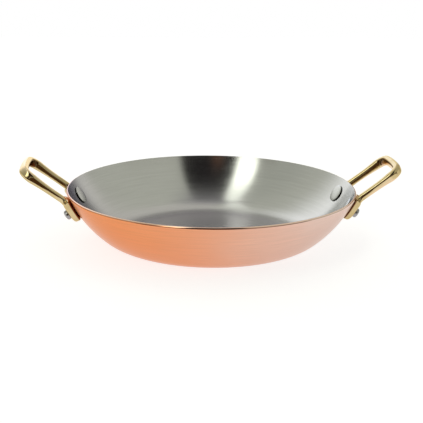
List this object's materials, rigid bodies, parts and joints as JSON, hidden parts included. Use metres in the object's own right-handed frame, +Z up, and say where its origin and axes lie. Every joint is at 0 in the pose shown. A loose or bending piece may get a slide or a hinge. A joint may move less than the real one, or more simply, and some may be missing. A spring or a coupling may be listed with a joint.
{
  "type": "serving pan",
  "caption": "Round shallow serving pan of copper lined with steel, with a flared wall and riveted brass loop handles, for cooking and serving at table.",
  "frame": {"origin": "centre of the flat underside of the base", "axes": "+Z up through the middle of the bowl, +X towards the right handle, with both handles on the X axis"},
  "size_m": [0.3124, 0.2394, 0.0677],
  "materials": {
    "copper": "polished copper with fine circular polishing marks",
    "lining_steel": "satin stainless steel, brushed in circles",
    "handle_brass": "polished cast brass",
    "rivet_steel": "satin stainless steel"
  },
  "bodies": {
    "root": {"copper_shell": "copper", "steel_lining": "lining_steel", "left_handle": "handle_brass", "right_handle": "handle_brass", "rivet_left_front": "rivet_steel", "rivet_left_back": "rivet_steel", "rivet_right_front": "rivet_steel", "rivet_right_back": "rivet_steel"}
  },
  "joints": []
}
